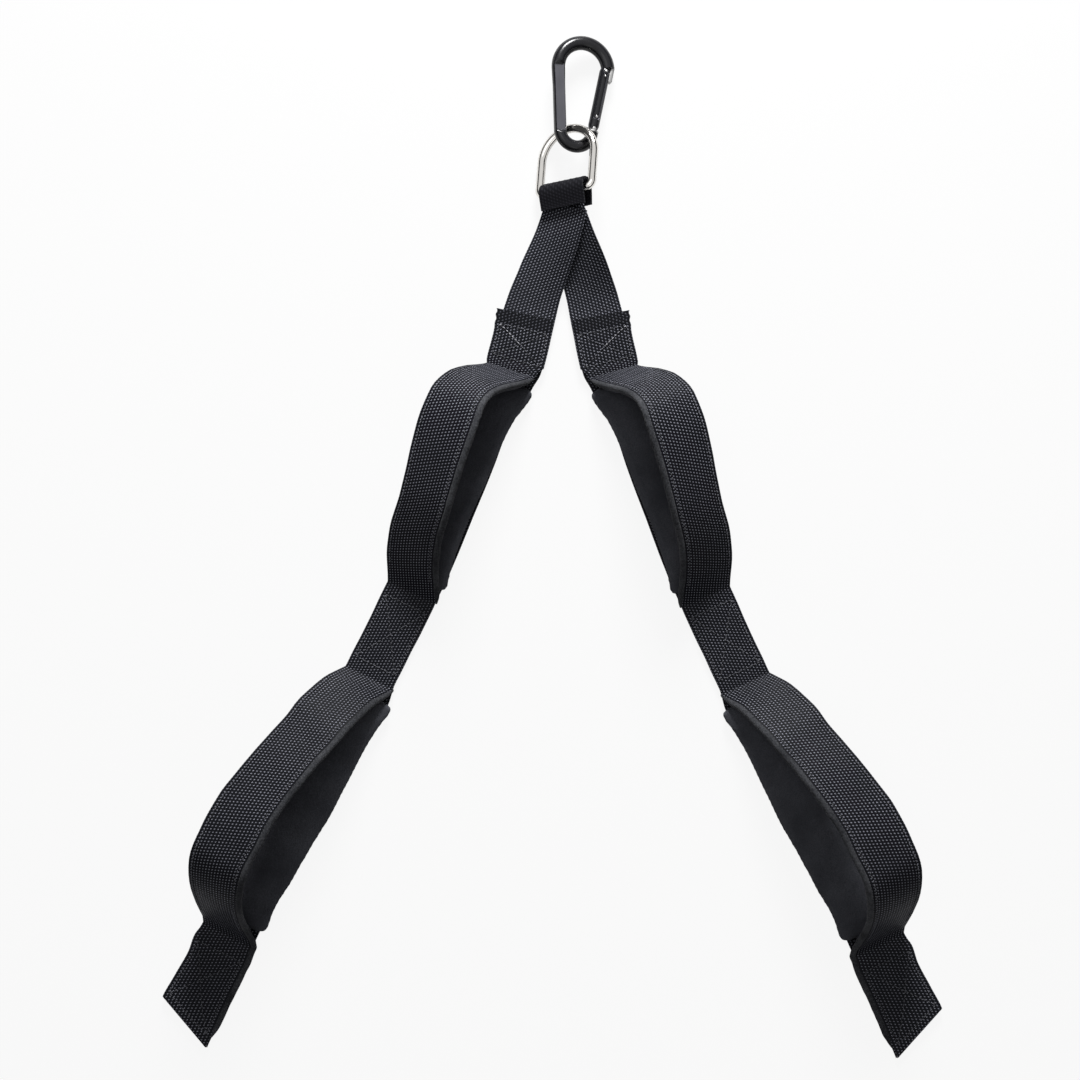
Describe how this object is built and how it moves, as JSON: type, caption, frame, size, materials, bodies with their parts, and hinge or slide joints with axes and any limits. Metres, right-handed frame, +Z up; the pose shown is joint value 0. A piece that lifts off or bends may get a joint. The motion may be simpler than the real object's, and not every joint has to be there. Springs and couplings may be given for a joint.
{
  "type": "triceps rope attachment",
  "caption": "Webbing strap attachment with padded hand loops on a D-ring and a spring-gate carabiner, for cable pull-downs.",
  "frame": {"origin": "on the surface that the part lies on, under the middle of its bounding box", "axes": "+Y towards the carabiner, +X towards the carabiner's gate side, +Z up from the surface"},
  "size_m": [0.5392, 0.7055, 0.0675],
  "materials": {
    "webbing": "woven polyester webbing, slight sheen",
    "pad": "matte knitted padding",
    "chrome": "polished plating",
    "anodised": "glossy black anodising",
    "pin_steel": "plain steel"
  },
  "bodies": {
    "carabiner": {"carabiner_frame": "anodised", "gate_pivot_pin": "pin_steel"},
    "gate": {"carabiner_gate": "anodised", "gate_latch_pin": "pin_steel", "gate_spring": "pin_steel", "gate_plunger": "pin_steel"},
    "ring": {"d_ring": "chrome"},
    "loop": {"ring_loop": "webbing"},
    "left_leg": {"left_leg_strap": "webbing", "left_tab_front": "webbing", "left_tab_back": "webbing"},
    "left_upper": {"left_upper_front_strap": "webbing", "left_upper_back_strap": "webbing", "left_upper_back_pad": "pad", "left_upper_front_pad": "pad"},
    "left_middle": {"left_middle_back": "webbing", "left_middle_front": "webbing"},
    "left_lower": {"left_lower_front_strap": "webbing", "left_lower_back_strap": "webbing", "left_lower_back_pad": "pad", "left_lower_front_pad": "pad"},
    "left_end": {"left_end_back": "webbing", "left_end_front": "webbing"},
    "right_leg": {"right_leg_strap": "webbing", "right_tab_front": "webbing", "right_tab_back": "webbing"},
    "right_upper": {"right_upper_front_strap": "webbing", "right_upper_back_strap": "webbing", "right_upper_back_pad": "pad", "right_upper_front_pad": "pad"},
    "right_middle": {"right_middle_back": "webbing", "right_middle_front": "webbing"},
    "right_lower": {"right_lower_front_strap": "webbing", "right_lower_back_strap": "webbing", "right_lower_back_pad": "pad", "right_lower_front_pad": "pad"},
    "right_end": {"right_end_back": "webbing", "right_end_front": "webbing"}
  },
  "joints": [
    {"name": "gate_hinge", "type": "hinge", "parent": "carabiner", "child": "gate", "pos_m": [0.01863, 0.28975, 0.01004], "axis": [0.2755, 0.0335, 0.9607], "range_deg": [0, 25], "stiffness_Nm_per_rad": 0.06, "springref_deg": -22.92},
    {"name": "ring_swing", "type": "hinge", "parent": "carabiner", "child": "ring", "pos_m": [-0.00046, 0.28929, 0.00988], "axis": [0.866, 0.0868, 0.4924], "range_deg": [-40, 8]},
    {"name": "loop_swing", "type": "hinge", "parent": "ring", "child": "loop", "pos_m": [0, 0.24555, 0.01787], "axis": [0.866, 0.0868, 0.4924], "range_deg": [-35, 35]},
    {"name": "left_spread", "type": "hinge", "parent": "loop", "child": "left_leg", "pos_m": [0.00118, 0.23361, 0.01791], "axis": [-0.4903, -0.0456, 0.8704], "range_deg": [-6, 3]},
    {"name": "left_tab_fold", "type": "hinge", "parent": "left_leg", "child": "left_upper", "pos_m": [-0.03122, 0.12509, 0.003], "axis": [-0.9636, 0.2675, 0], "range_deg": [-45, 45]},
    {"name": "left_middle_top_fold", "type": "hinge", "parent": "left_upper", "child": "left_middle", "pos_m": [-0.10266, -0.03781, 0.00195], "axis": [-0.9077, 0.4197, 0], "range_deg": [-45, 45]},
    {"name": "left_middle_low_fold", "type": "hinge", "parent": "left_middle", "child": "left_lower", "pos_m": [-0.1278, -0.09008, 0.00195], "axis": [-0.8985, 0.439, 0], "range_deg": [-45, 45]},
    {"name": "left_end_fold", "type": "hinge", "parent": "left_lower", "child": "left_end", "pos_m": [-0.22976, -0.2782, 0.00195], "axis": [-0.8988, 0.4384, 0], "range_deg": [-60, 60]},
    {"name": "right_spread", "type": "hinge", "parent": "loop", "child": "right_leg", "pos_m": [0.00118, 0.23361, 0.01791], "axis": [-0.4903, -0.0456, 0.8704], "range_deg": [-3, 6]},
    {"name": "right_tab_fold", "type": "hinge", "parent": "right_leg", "child": "right_upper", "pos_m": [0.03122, 0.12509, 0.003], "axis": [0.9636, 0.2675, 0], "range_deg": [-45, 45]},
    {"name": "right_middle_top_fold", "type": "hinge", "parent": "right_upper", "child": "right_middle", "pos_m": [0.10266, -0.03781, 0.00195], "axis": [0.9077, 0.4197, 0], "range_deg": [-45, 45]},
    {"name": "right_middle_low_fold", "type": "hinge", "parent": "right_middle", "child": "right_lower", "pos_m": [0.1278, -0.09008, 0.00195], "axis": [0.8985, 0.439, 0], "range_deg": [-45, 45]},
    {"name": "right_end_fold", "type": "hinge", "parent": "right_lower", "child": "right_end", "pos_m": [0.22976, -0.2782, 0.00195], "axis": [0.8988, 0.4384, 0], "range_deg": [-60, 60]}
  ]
}
